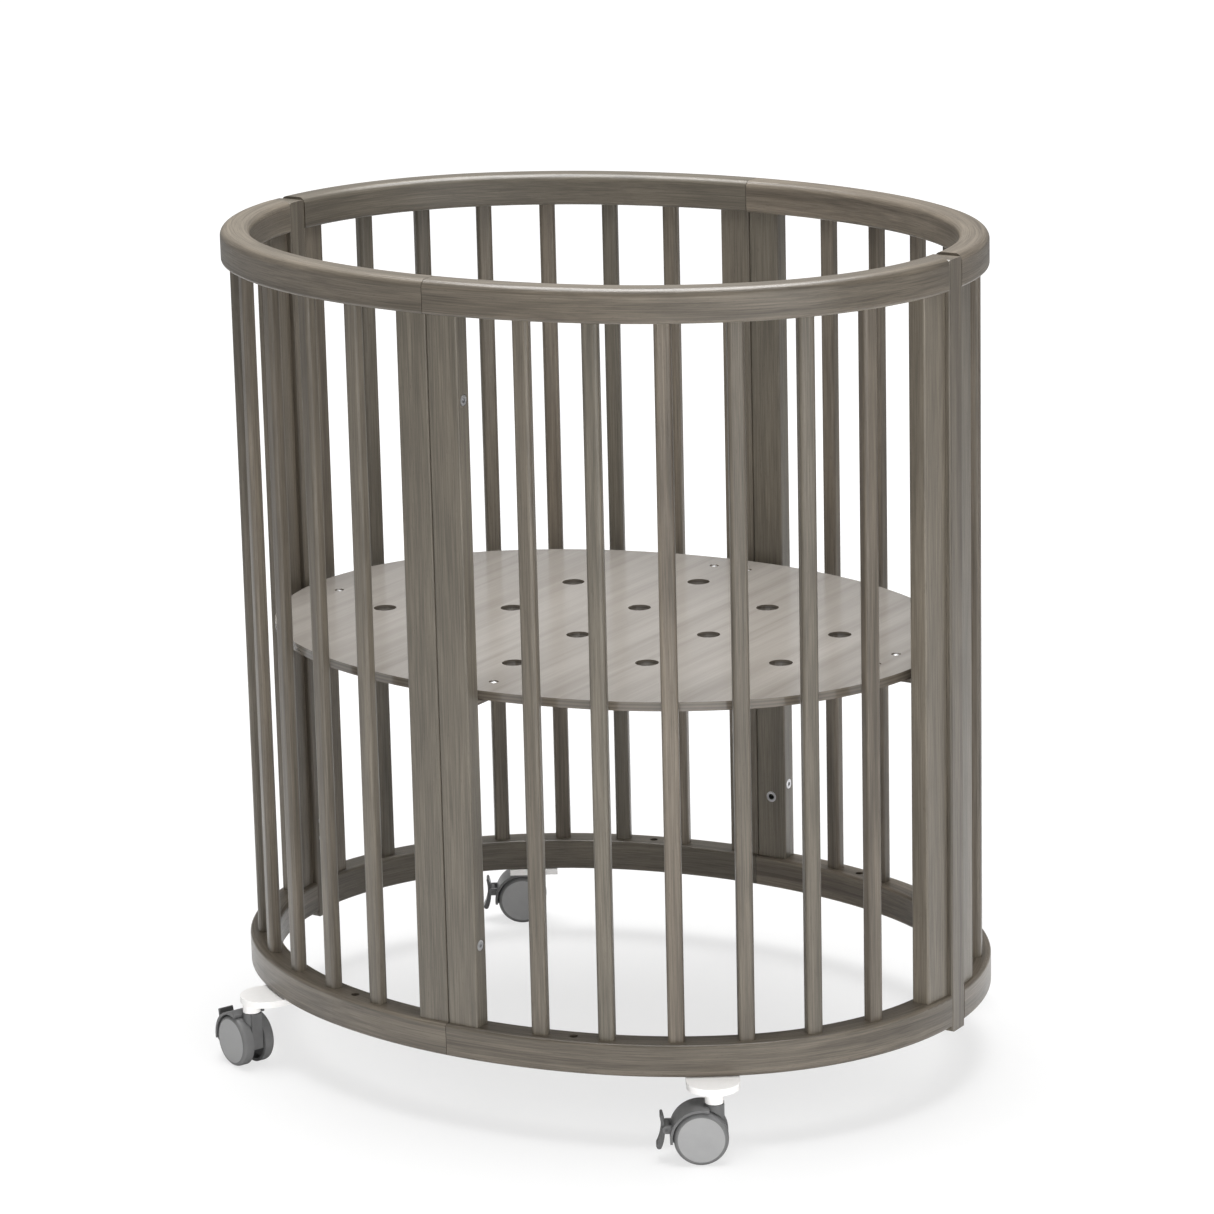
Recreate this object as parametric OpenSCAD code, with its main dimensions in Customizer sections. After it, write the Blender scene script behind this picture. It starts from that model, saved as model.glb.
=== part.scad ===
// Oval baby crib: four curved railing panels bolted into an oval, a perforated
// sleeping deck on steel brackets, and four braked twin-wheel casters.
// Millimetres, +Z up. The origin is on the floor under the middle of the oval;
// X runs along the long axis and Y along the short axis.

/* [Oval] */
// Half of the long axis, to the outer face of the rails
half_length = 375; // [367:1:383]
// Half of the short axis, to the outer face of the rails
half_width = 300; // [298:1:304]
// Radius of the outer face at the ends of the oval
end_radius = 272; // [268:1:274]

/* [Rails] */
// Thickness of the rails across the oval
rail_depth = 28; // [27:0.5:30]
// Height of the top rail and of the bottom rail
rail_height = 31; // [30:0.5:34]
// From the underside of the bottom rail to the top of the top rail
railing_height = 727; // [690:1:760]
// Rounding of the top rail's upper edges
top_rounding = 7; // [4:0.5:9]
// Rounding of all the other rail edges
edge_rounding = 3; // [1.5:0.5:4]
// Open line between two rail ends that butt together
seam_gap = 0.6; // [0.4:0.1:1]

/* [Slats and stiles] */
// Slats in each quarter panel
slats_per_panel = 6; // [5:1:6]
// Width of a slat along the oval
slat_width = 15.5; // [14:0.5:17]
// Depth of a slat across the oval
slat_depth = 12; // [11:0.5:14]
// From a short-axis seam to the middle of the first slat, along the oval
first_slat = 90.5; // [88:0.5:93]
// From one slat to the next, along the oval
slat_pitch = 63.7; // [62:0.1:65]
// Width of the flat stile at each end of a panel
stile_width = 32; // [30:0.5:34]
// Depth of a stile across the oval
stile_depth = 18; // [16:0.5:19]

/* [Joint posts] */
// Width of the post between two panels on the long axis
post_width = 24; // [22:0.5:26]
// How far the post's foot reaches below the bottom rail
post_foot = 5; // [3:0.5:7]
// How far the post's top stays under the top rail's upper face
post_sink = 2; // [1:0.5:4]

/* [Sleeping deck] */
// Height of the deck's upper face above the bottom rail's underside
deck_height = 344; // [320:1:360]
// Thickness of the deck board
deck_thickness = 8.5; // [7:0.5:10]
// Diameter of the airing holes
airing_hole = 22; // [18:1:26]
// Distance between airing holes in one row
airing_pitch = 221; // [212:1:224]
// Distance between two rows of airing holes
airing_row = 56; // [52:1:58]

/* [Casters] */
// Height of the rails above the floor
floor_clearance = 70; // [69.5:0.5:72]
// Diameter of a wheel
wheel_diameter = 50; // [49:0.5:50]
// Distance from the swivel axis to the axle, across the caster
trail = 12.5; // [12:0.5:13]
// How far the swivel axis stands outside the rails
outrigger = 22.7; // [21:0.1:24]

/* [Hidden] */
$fn = 64;

CORNERS = ["front_right", "front_left", "back_left", "back_right"];
SIDES = ["right", "left"];
WHEELS = ["1", "2"];

function named(base, ends) = [for (e = ends) str(base, "_", e)];

// Signs of x and y in each quarter, in the order of CORNERS
corner_sign = [[1, -1], [-1, -1], [-1, 1], [1, 1]];
// Direction in which each caster trails at rest, degrees from +X
trail_heading = [-148, 158, -148, -148];

// The outer face of a quarter is three tangent arcs. They meet where the normal
// runs 3:4 and 7:24, so the centres come out as short exact numbers. The end
// radius is chosen; the other two follow from the half axes.
breaks = [0, atan2(4, 3), atan2(24, 7), 90];
shoulder_radius = 8.75 * half_width - 6.5 * end_radius - 1.25 * half_length;
side_radius = 25 * half_width - 20 * end_radius - 4 * shoulder_radius;
radii = [end_radius, shoulder_radius, side_radius];
end_centre = [half_length - end_radius, 0];
shoulder_centre = end_centre - (shoulder_radius - end_radius) * [0.6, 0.8];
side_centre = [0, half_width - side_radius];
centres = [end_centre, shoulder_centre, side_centre];

// A point of the first quarter from its normal angle, moved inwards by inset
function arc_of(a) = a <= breaks[1] ? 0 : a <= breaks[2] ? 1 : 2;
function oval_point(a, inset) =
    centres[arc_of(a)] + (radii[arc_of(a)] - inset) * [cos(a), sin(a)];

// Normal angle at a distance along the middle line, from the long axis
middle = rail_depth / 2;
function arc_length(i) = (radii[i] - middle) * (breaks[i + 1] - breaks[i]) * PI / 180;
function turned(i, s) = breaks[i] + s / (radii[i] - middle) * 180 / PI;
shoulder_start = arc_length(0);
side_start = shoulder_start + arc_length(1);
quarter_length = side_start + arc_length(2);
function angle_at(s) =
    s <= shoulder_start ? turned(0, s)
    : s <= side_start ? turned(1, s - shoulder_start)
    : turned(2, s - side_start);

// Heights above the floor
bottom_z = floor_clearance;
slat_foot_z = bottom_z + rail_height;
top_z = bottom_z + railing_height;
slat_head_z = top_z - rail_height;
slat_length = slat_head_z - slat_foot_z;
deck_z = bottom_z + deck_height;

// Joinery
core_past = 0.2;                    // degrees
core_cover = 8;
tenon_radius = 4.5;
tenon_length = 12;
stile_tenon = [8, 20, 10];          // across, along the oval, up
stile_rounding = 2;
slat_rounding = 4;
stile_angle_end = angle_at(post_width / 2 + stile_width / 2);
stile_inset = middle;
post_gap = 0.25;
dowel_radius = 4;
butt_dowel_length = 30;
post_dowel_length = 54;
rocker_bore_radius = 4;
rocker_bore_offset = first_slat + slat_pitch / 2;
slat_angles = [
    for (i = [0 : slats_per_panel - 1]) angle_at(quarter_length - first_slat - i * slat_pitch)
];

// Bolts that pull two panels together, measured from the bottom rail's underside
connector_heights = [108.5, 618.5];
connector_hole_radius = 4.1;
connector_bolt_radius = 2.9;
connector_head = [5, 2];            // radius, thickness
connector_pocket = [5.4, 2.2];      // radius, depth
sleeve_bore_radius = 2.95;
sleeve_radius = 4.05;
sleeve_length = 36;
short_sleeve_depth = 22;            // into the stile beside a post
sleeve_thread = 12;                 // how far a bolt reaches into its sleeve
socket_radius = 2.3;
socket_depth = 1.4;

// Deck brackets and their fasteners
bracket_width = 56;
bracket_reach = 60;
bracket_drop = 42;
bracket_sheet = 2.5;
deck_gap = 9;
deck_step = 0.05;
deck_lap = 1;                       // degrees
deck_end_lap = 8;                   // degrees
deck_core = 0.8;                    // middle block, as a share of the half width
deck_screw_spread = 19;
deck_screw_reach = 46;
deck_screw_radius = 2;
deck_screw_head = [4, 1.6];         // radius, height
deck_screw_pocket = [4.6, 1.7];     // radius, depth
insert_radius = 5.5;
insert_length = 12;
insert_bore_radius = 3;
bracket_bolt_radius = 2.95;
bracket_bolt_length = 13;
bracket_bolt_head = [5, 3];
low_insert_height = 95;             // from the bottom rail's underside
bracket_bolt_drop = 20;             // below the deck board, where two sit side by side
post_bolt_drops = [13, 31];         // below the deck board, where two sit one over the other
post_low_drops = [0, 18];           // below the low insert's height

// Casters
caster_angle = angle_at(quarter_length - first_slat - 2.5 * slat_pitch);
stem_point = oval_point(caster_angle, -outrigger);
wheel_radius = wheel_diameter / 2;
plate_thickness = 6.3;
plate_radius = 24.5;
plate_overhang = 8;                 // centre of the plate's round end, outside the rails
boss_radius = 8.5;
boss_bottom = 55;
plate_screw_radius = 2;
plate_screw_head = [3.8, 2.4];
plate_screw_length = 24;
plate_screw_spread = 15;
stem_radius = 4;
stem_bore_radius = 4.05;
stem_top = 67.5;
stem_bottom = 32;
housing_radius = 9;
housing_top = 54.4;
housing_bottom = 32;
web_half = 5.8;
web_front = 9;
web_lowest = -6;                    // from the axle
fender_outer = 28.4;
fender_inner = 26;
fender_half = 17.2;
fender_start = -8;
fender_end = 106;
axle_radius = 3;
axle_half = 15.4;
wheel_bore_radius = 3.05;
wheel_inner_face = 6.4;
wheel_outer_face = 17.2;
wheel_shoulder = 4;
rim_thickness = 3;
wheel_web = 2.4;
hub_radius = 6.5;
cap_radius = 21.4;
cap_thickness = 1.4;
lever_pivot = [31.4, 8];            // from the axle, along the trail and up
lever_half = 7.6;
lever_hub_radius = 3.2;
lever_thickness = 3.6;
lever_arc_radius = 46;
lever_taper = 3.5;
lever_ends = [-17, 12];               // below and above the pivot
lever_pin_radius = 1.5;
lug_bore_radius = 1.55;
lug_inner = 8;
lug_outer = 11;
lug_radius = 3.6;

wood = [0.50, 0.46, 0.41];
deck_wood = [0.74, 0.71, 0.67];
steel = [0.75, 0.75, 0.76];
white_plastic = [0.93, 0.93, 0.91];
grey_plastic = [0.42, 0.42, 0.42];
light_grey = [0.69, 0.69, 0.69];

// ---- shared shapes ----

// Rounded rectangle round the origin, with one radius for all four corners
module rounded_rect(w, d, r) {
    square([w - 2 * r, d], center = true);
    square([w, d - 2 * r], center = true);
    for (x = [-1, 1], y = [-1, 1]) translate([x * (w / 2 - r), y * (d / 2 - r)]) circle(r);
}

// Rail section: outer face on x = 0, underside on y = 0
module rail_section(upper_rounding) {
    for (level = [[edge_rounding, edge_rounding], [rail_height - upper_rounding, upper_rounding]])
        for (x = [-level[1], -rail_depth + level[1]]) translate([x, level[0]]) circle(level[1]);
    translate([-rail_depth, edge_rounding])
        square([rail_depth, rail_height - upper_rounding - edge_rounding]);
    translate([-rail_depth + edge_rounding, 0])
        square([rail_depth - 2 * edge_rounding, edge_rounding]);
    translate([-rail_depth + upper_rounding, rail_height - upper_rounding])
        square([rail_depth - 2 * upper_rounding, upper_rounding]);
}

// Sweeps its children round one arc of the first quarter, and past its ends if asked
module arc_sweep(i, past) {
    translate([centres[i][0], centres[i][1], 0])
        rotate_extrude(angle = breaks[i + 1] - breaks[i] + 2 * past, start = breaks[i] - past)
            children();
}

// One quarter rail, standing on z = 0, cut square at the seam and at the post
module quarter_rail(upper_rounding) {
    reach = half_length + half_width;
    difference() {
        for (i = [0 : 2]) {
            arc_sweep(i, 0) translate([radii[i], 0]) rail_section(upper_rounding);
            // the core runs past each joint, so that the three arcs are one piece
            arc_sweep(i, core_past) translate([radii[i] - rail_depth + core_cover, core_cover])
                square([rail_depth - 2 * core_cover, rail_height - 2 * core_cover]);
        }
        translate([0, -core_cover, -1])
            cube([reach, post_width / 2 + post_gap + core_cover, rail_height + 2]);
        translate([-core_cover, 0, -1])
            cube([seam_gap / 2 + core_cover, reach, rail_height + 2]);
        rail_end_dowel_holes();
    }
}

module rail_end_dowel_holes() {
    translate([0, half_width - middle, rail_height / 2]) rotate([0, 90, 0])
        cylinder(r = dowel_radius, h = butt_dowel_length / 2);
    translate([half_length - middle, 0, rail_height / 2]) rotate([-90, 0, 0])
        cylinder(r = dowel_radius, h = post_dowel_length / 2);
}

// Places its children on the middle line of the first quarter, turned to the normal
module on_oval(a, inset) {
    p = oval_point(a, inset);
    translate([p[0], p[1], 0]) rotate([0, 0, a]) children();
}

// Mirrors the first quarter into one of the four
module in_corner(i) {
    mirror([corner_sign[i][0] < 0 ? 1 : 0, 0, 0])
        mirror([0, corner_sign[i][1] < 0 ? 1 : 0, 0])
            children();
}

// Mortises for the slats and stiles, cut from z = 0 up by depth
module panel_mortises() {
    for (a = slat_angles) on_oval(a, middle) cylinder(r = tenon_radius, h = tenon_length);
    for (a = [stile_angle_end, 90]) {
        along = a == 90 ? -stile_width / 2 - seam_gap / 2 : 0;
        on_oval(a, stile_inset) translate([0, along, stile_tenon[2] / 2])
            cube(stile_tenon, center = true);
    }
}

// ---- rails ----

module top_rail(i) {
    color(wood)
        in_corner(i) translate([0, 0, slat_head_z])
            difference() {
                quarter_rail(top_rounding);
                panel_mortises();
            }
}

module bottom_rail(i) {
    color(wood)
        in_corner(i) translate([0, 0, bottom_z])
            difference() {
                quarter_rail(edge_rounding);
                translate([0, 0, rail_height]) mirror([0, 0, 1]) panel_mortises();
                on_oval(angle_at(quarter_length - rocker_bore_offset), middle)
                    translate([0, 0, -1]) cylinder(r = rocker_bore_radius, h = rail_height + 2);
                at_plate_screws() cylinder(r = plate_screw_radius,
                                           h = plate_screw_length - plate_thickness);
            }
}

// ---- slats and stiles ----

module slats(i) {
    color(wood)
        in_corner(i)
            for (a = slat_angles)
                on_oval(a, middle) translate([0, 0, slat_foot_z]) {
                    linear_extrude(slat_length) rounded_rect(slat_depth, slat_width, slat_rounding);
                    translate([0, 0, -tenon_length])
                        cylinder(r = tenon_radius, h = slat_length + 2 * tenon_length);
                }
}

module stile_tenons() {
    translate([0, 0, slat_length / 2])
        cube([stile_tenon[0], stile_tenon[1], slat_length + 2 * stile_tenon[2]], center = true);
}

// The stile beside a post is planed on the side that meets it. At the front it holds
// the connector's sleeve, hidden; at the back it holds the connector's head.
module stile_at_post(front) {
    extra = 1.6;
    skew_allowance = stile_width * 2;
    difference() {
        translate([0, 0, slat_foot_z]) on_oval(stile_angle_end, stile_inset) {
            linear_extrude(slat_length) translate([0, -extra / 2])
                rounded_rect(stile_depth, stile_width + extra, stile_rounding);
            stile_tenons();
        }
        translate([0, post_width / 2 + post_gap - skew_allowance, 0])
            cube([half_length + 1, skew_allowance, top_z]);
        post_connector_holes(front ? short_sleeve_depth + 1 : stile_width);
        for (h = connector_heights)
            translate([half_length - middle, front ? 0 : connector_end_y(), bottom_z + h])
                rotate([-90, 0, 0]) cylinder(r = connector_pocket[0],
                    h = front ? post_width / 2 + post_gap + connector_pocket[1] : stile_width);
    }
}

module stile_at_seam() {
    difference() {
        translate([stile_width / 2 + seam_gap / 2, half_width - stile_inset, slat_foot_z])
            rotate([0, 0, 90]) {
                linear_extrude(slat_length)
                    rounded_rect(stile_depth, stile_width, stile_rounding);
                stile_tenons();
            }
        seam_connector_holes();
        for (h = connector_heights)
            translate([stile_width + seam_gap / 2 - connector_pocket[1],
                       half_width - stile_inset, bottom_z + h])
                rotate([0, 90, 0]) cylinder(r = connector_pocket[0], h = stile_width);
        for (z = [deck_z - deck_thickness - bracket_bolt_drop, bottom_z + low_insert_height])
            translate([stile_width / 2 + seam_gap / 2,
                       half_width - stile_inset - stile_depth / 2 - 1, z])
                rotate([-90, 0, 0]) cylinder(r = insert_radius, h = insert_length + 1);
    }
}

// Where the connector's head sits on the slanting side of the stile by a post
function connector_end_y() = post_width / 2 + stile_width - 3.2;

module seam_connector_holes() {
    for (h = connector_heights)
        translate([0, half_width - stile_inset, bottom_z + h]) rotate([0, 90, 0])
            cylinder(r = connector_hole_radius, h = stile_width + 1);
}

module post_connector_holes(depth) {
    for (h = connector_heights)
        translate([half_length - middle, 0, bottom_z + h]) rotate([-90, 0, 0])
            cylinder(r = connector_hole_radius, h = post_width / 2 + depth);
}

module stiles(i) {
    color(wood)
        in_corner(i) {
            stile_at_post(i < 2);
            stile_at_seam();
        }
}

// ---- joint posts, dowels and connectors ----

post_length = railing_height + post_foot - post_sink;
post_face_x = half_length - rail_depth;

module joint_post(side) {
    color(wood)
        mirror([side, 0, 0])
            difference() {
                translate([half_length - middle, 0, bottom_z - post_foot])
                    intersection() {
                        linear_extrude(post_length)
                            rounded_rect(rail_depth, post_width, stile_rounding);
                        // eased head and foot, seen from the outside
                        translate([rail_depth, 0, 0]) rotate([0, -90, 0])
                            linear_extrude(2 * rail_depth) translate([post_length / 2, 0])
                                rounded_rect(post_length, post_width, edge_rounding);
                    }
                for (y = [0, 1]) mirror([0, y, 0]) post_connector_holes(1);
                for (z = [bottom_z, slat_head_z])
                    translate([half_length - middle, -post_width, z + rail_height / 2])
                        rotate([-90, 0, 0]) cylinder(r = dowel_radius, h = 2 * post_width);
                for (z = post_insert_heights()) translate([post_face_x - 1, 0, z])
                    rotate([0, 90, 0]) cylinder(r = insert_radius, h = insert_length + 1);
            }
}

function post_insert_heights() = concat(
    [for (d = post_bolt_drops) deck_z - deck_thickness - d],
    [for (d = post_low_drops) bottom_z + low_insert_height - d]
);

module joint_dowels() {
    color(wood)
        for (z = [bottom_z, slat_head_z], s = [-1, 1]) {
            translate([-butt_dowel_length / 2, s * (half_width - middle), z + rail_height / 2])
                rotate([0, 90, 0]) cylinder(r = dowel_radius, h = butt_dowel_length);
            translate([s * (half_length - middle), -post_dowel_length / 2, z + rail_height / 2])
                rotate([-90, 0, 0]) cylinder(r = dowel_radius, h = post_dowel_length);
        }
}

// A connector lies along +X from its sleeve to its bolt head, round the origin. Its
// head is at $reach, its sleeve's flange at -$flange and its sleeve's tip at -$tip.
module connector_places() {
    seam_reach = stile_width + seam_gap / 2 - connector_pocket[1];
    post_side = post_width / 2 + post_gap;
    for (h = connector_heights, s = [-1, 1]) {
        translate([0, s * (half_width - stile_inset), bottom_z + h])
            children_at(seam_reach, seam_reach, seam_reach - sleeve_length) children();
        translate([s * (half_length - middle), 0, bottom_z + h]) rotate([0, 0, 90])
            children_at(connector_end_y(), post_side, post_width / 2 + short_sleeve_depth)
                children();
    }
}

module children_at(reach, flange, tip) {
    $reach = reach;
    $flange = flange;
    $tip = tip;
    children();
}

module connector_bolts() {
    color(steel)
        connector_places() rotate([0, 90, 0]) difference() {
            union() {
                let (end = min($flange, $tip) + sleeve_thread)
                    translate([0, 0, -end])
                        cylinder(r = connector_bolt_radius, h = end + $reach);
                translate([0, 0, $reach]) cylinder(r = connector_head[0], h = connector_head[1]);
            }
            translate([0, 0, $reach + connector_head[1] - socket_depth])
                cylinder(r = socket_radius, h = socket_depth + 1, $fn = 6);
        }
}

module connector_sleeves() {
    color(steel)
        connector_places() rotate([0, 90, 0]) difference() {
            union() {
                translate([0, 0, -max($flange, $tip)])
                    cylinder(r = sleeve_radius, h = abs($flange - $tip));
                translate([0, 0, -$flange - connector_head[1]])
                    cylinder(r = connector_head[0], h = connector_head[1]);
            }
            // the bore is blind at the end away from the bolt
            translate([0, 0, -max($flange, $tip) + 2])
                cylinder(r = sleeve_bore_radius, h = sleeve_length);
            if ($flange > $tip)
                translate([0, 0, -$flange - connector_head[1] - 1])
                    cylinder(r = socket_radius, h = socket_depth + 1, $fn = 6);
        }
}

// ---- sleeping deck ----

// A wedge of the board from the centre of one arc. Each wider arc stands a hair
// further in, so that it leaves the arc before it at a clean crossing.
module deck_wedge(i, from, to) {
    translate([centres[i][0], centres[i][1], 0])
        rotate_extrude(angle = to - from, start = from)
            square([radii[i] - rail_depth - deck_gap - i * deck_step, deck_thickness]);
}

module deck_blank() {
    for (s = [0, 1]) {
        mirror([s, 0, 0]) deck_wedge(0, -90, 90);
        mirror([0, s, 0]) deck_wedge(2, breaks[2] - deck_lap, 180 - breaks[2] + deck_lap);
    }
    for (i = [0 : 3]) in_corner(i) deck_wedge(1, breaks[1] - deck_lap, breaks[2] + deck_end_lap);
    translate([-end_centre[0], -deck_core * half_width, 0])
        cube([2 * end_centre[0], 2 * deck_core * half_width, deck_thickness]);
}

module deck_board() {
    color(deck_wood)
        translate([0, 0, deck_z - deck_thickness])
            difference() {
                deck_blank();
                for (p = airing_holes) translate([p[0], p[1], -1])
                    cylinder(d = airing_hole, h = deck_thickness + 2);
                translate([0, 0, -deck_z]) at_deck_screws()
                    cylinder(r = deck_screw_radius, h = 2 * deck_z);
                translate([0, 0, deck_thickness - deck_screw_pocket[1]]) at_deck_screws()
                    cylinder(r = deck_screw_pocket[0], h = deck_thickness);
            }
}

// Rows of airing holes, each row shifted by half a pitch against the next
airing_rows = 3;
airing_limit = 0.7;
function inside(x, y) =
    pow(x / (half_length - rail_depth), 2) + pow(y / (half_width - rail_depth), 2) < airing_limit;
airing_holes = [
    for (row = [-airing_rows : airing_rows])
        for (col = [-2 : 2])
            let (x = (col + (row % 2 == 0 ? 0.5 : 0)) * airing_pitch, y = row * airing_row)
                if (inside(x, y)) [x, y]
];

// The four bracket places: on the stiles at the seams, on the posts at the ends.
// Each child stands on the wood face, which is its x = 0, and looks inwards along +X.
seam_face_y = half_width - stile_inset - stile_depth / 2;

module at_brackets() {
    for (s = [-1, 1]) {
        translate([0, s * seam_face_y, 0]) rotate([0, 0, -s * 90]) {
            $on_post = false;
            children();
        }
        translate([s * post_face_x, 0, 0]) rotate([0, 0, s > 0 ? 180 : 0]) {
            $on_post = true;
            children();
        }
    }
}

function bracket_bolt_places(on_post) = on_post
    ? [for (d = post_bolt_drops) [0, deck_z - deck_thickness - d]]
    : [for (s = [-1, 1]) [s * (stile_width / 2 + seam_gap / 2),
                          deck_z - deck_thickness - bracket_bolt_drop]];

module at_deck_screws() {
    at_brackets()
        for (s = [-1, 1]) translate([deck_screw_reach, s * deck_screw_spread, 0]) children();
}

module deck_brackets() {
    under_deck = deck_z - deck_thickness;
    color(steel)
        difference() {
            at_brackets() difference() {
                union() {
                    translate([0, -bracket_width / 2, under_deck - bracket_sheet])
                        cube([bracket_reach, bracket_width, bracket_sheet]);
                    translate([0, -bracket_width / 2, under_deck - bracket_drop])
                        cube([bracket_sheet, bracket_width, bracket_drop]);
                }
                for (p = bracket_bolt_places($on_post)) translate([-1, p[0], p[1]])
                    rotate([0, 90, 0]) cylinder(r = insert_bore_radius, h = bracket_sheet + 2);
            }
            at_deck_screws() cylinder(r = deck_screw_radius, h = 2 * deck_z);
        }
}

module deck_screws() {
    head_r = deck_screw_head[0];
    head_h = deck_screw_head[1];
    dome = (head_r * head_r + head_h * head_h) / (2 * head_h);
    shank = deck_thickness + bracket_sheet + 3 - deck_screw_pocket[1];
    color(steel)
        at_deck_screws() translate([0, 0, deck_z - deck_screw_pocket[1]]) {
            intersection() {
                translate([0, 0, head_h - dome]) sphere(dome);
                cylinder(r = head_r, h = head_h);
            }
            translate([0, 0, -shank]) cylinder(r = deck_screw_radius, h = shank + head_h / 2);
        }
}

module bracket_bolts() {
    color(steel)
        at_brackets()
            for (p = bracket_bolt_places($on_post))
                translate([bracket_sheet, p[0], p[1]]) rotate([0, 90, 0]) difference() {
                    union() {
                        translate([0, 0, -bracket_bolt_length])
                            cylinder(r = bracket_bolt_radius, h = bracket_bolt_length + 1);
                        cylinder(r = bracket_bolt_head[0], h = bracket_bolt_head[1]);
                    }
                    translate([0, 0, bracket_bolt_head[1] - socket_depth])
                        cylinder(r = socket_radius, h = socket_depth + 1, $fn = 6);
                }
}

module threaded_insert() {
    difference() {
        cylinder(r = insert_radius, h = insert_length);
        translate([0, 0, -1]) cylinder(r = insert_bore_radius, h = insert_length + 2);
    }
}

module threaded_inserts() {
    low = bottom_z + low_insert_height;
    color(steel)
        at_brackets() {
            low_places = $on_post
                ? [for (d = post_low_drops) [0, low - d]]
                : [for (s = [-1, 1]) [s * (stile_width / 2 + seam_gap / 2), low]];
            for (p = concat(bracket_bolt_places($on_post), low_places))
                translate([-insert_length, p[0], p[1]]) rotate([0, 90, 0]) threaded_insert();
        }
}

// ---- caster plates, screws and stems, fixed to the rails ----

// Places its children on the rail's middle line over the plate, beside the stem's line
module at_plate_screws() {
    on_oval(caster_angle, middle)
        for (s = [-1, 1]) translate([0, s * plate_screw_spread, 0]) children();
}

module caster_plate(i) {
    centre_out = plate_overhang;
    color(white_plastic)
        in_corner(i) {
            difference() {
                union() {
                    translate([0, 0, bottom_z - plate_thickness])
                        on_oval(caster_angle, -centre_out) {
                            cylinder(r = plate_radius, h = plate_thickness);
                            translate([-rail_depth - centre_out, -plate_radius, 0])
                                cube([rail_depth + centre_out, 2 * plate_radius, plate_thickness]);
                        }
                    translate([stem_point[0], stem_point[1], boss_bottom])
                        cylinder(r = boss_radius, h = bottom_z - plate_thickness - boss_bottom + 1);
                }
                translate([stem_point[0], stem_point[1], boss_bottom - 1])
                    cylinder(r = stem_radius, h = stem_top - boss_bottom + 1);
                translate([0, 0, bottom_z - plate_thickness]) at_plate_screws() {
                    translate([0, 0, -1])
                        cylinder(r = plate_screw_radius, h = plate_thickness + 2);
                    translate([0, 0, -1])
                        cylinder(r = plate_screw_head[0], h = plate_screw_head[1] + 1);
                }
            }
        }
}

module caster_plate_screws() {
    color(steel)
        for (i = [0 : 3])
            in_corner(i) translate([0, 0, bottom_z - plate_thickness]) at_plate_screws() {
                cylinder(r = plate_screw_radius, h = plate_screw_length);
                cylinder(r = plate_screw_head[0], h = plate_screw_head[1]);
            }
}

module caster_stems() {
    color(steel)
        for (i = [0 : 3])
            in_corner(i) translate([stem_point[0], stem_point[1], stem_bottom])
                cylinder(r = stem_radius, h = stem_top - stem_bottom);
}

// ---- casters: the axle is the origin's height, the trail runs along +X ----

// Places a caster's own frame: swivel axis at x = -trail, axle on the origin
module at_caster(i) {
    translate([corner_sign[i][0] * stem_point[0], corner_sign[i][1] * stem_point[1], 0])
        rotate([0, 0, trail_heading[i]])
            translate([trail, 0, wheel_radius])
                children();
}

// A slab of the given half thickness between the wheels
module slab(half) {
    translate([0, half, 0]) rotate([90, 0, 0]) linear_extrude(2 * half) children();
}

module hood_fender() {
    rotate([90, 0, 0])
        rotate_extrude(angle = fender_end - fender_start, start = fender_start)
            translate([fender_inner, -fender_half])
                square([fender_outer - fender_inner, 2 * fender_half]);
}

module hood_web() {
    front = -trail - web_front;
    slab(web_half) intersection() {
        union() {
            circle(fender_outer);
            translate([front, 0]) square([trail, housing_top - wheel_radius]);
        }
        translate([front, web_lowest])
            square([fender_outer - front, housing_top - wheel_radius - web_lowest]);
    }
}

// Round column over the stem, cut away where the wheels turn
module hood_housing() {
    difference() {
        translate([-trail, 0, housing_bottom - wheel_radius])
            cylinder(r = housing_radius, h = housing_top - housing_bottom);
        for (s = [0, 1]) mirror([0, s, 0]) translate([0, web_half, 0])
            rotate([-90, 0, 0]) cylinder(r = fender_inner, h = fender_half);
    }
}

module hood_lugs() {
    root = 26.5;
    for (s = [-1, 1])
        translate([0, s * (lug_inner + lug_outer) / 2, 0]) slab((lug_outer - lug_inner) / 2) {
            translate(lever_pivot) circle(lug_radius);
            translate([root, lever_pivot[1] - lug_radius])
                square([lever_pivot[0] - root, 2 * lug_radius]);
        }
}

module caster_hood(i) {
    color(grey_plastic)
        at_caster(i) difference() {
            union() {
                hood_fender();
                hood_web();
                hood_housing();
                hood_lugs();
            }
            translate([-trail, 0, stem_bottom - 1 - wheel_radius])
                cylinder(r = stem_bore_radius, h = housing_top - stem_bottom + 2);
            translate([0, web_half + 1, 0]) rotate([90, 0, 0])
                cylinder(r = axle_radius, h = 2 * web_half + 2);
            translate([lever_pivot[0], lug_outer + 1, lever_pivot[1]]) rotate([90, 0, 0])
                cylinder(r = lug_bore_radius, h = 2 * lug_outer + 2);
        }
}

module caster_axle(i) {
    color(steel)
        at_caster(i) translate([0, axle_half, 0]) rotate([90, 0, 0])
            cylinder(r = axle_radius, h = 2 * axle_half);
}

// Wheel 1 is on the axle's +Y side of the caster and wheel 2 on the other
module on_wheel_side(w) {
    mirror([0, w, 0]) rotate([-90, 0, 0]) children();
}

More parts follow.
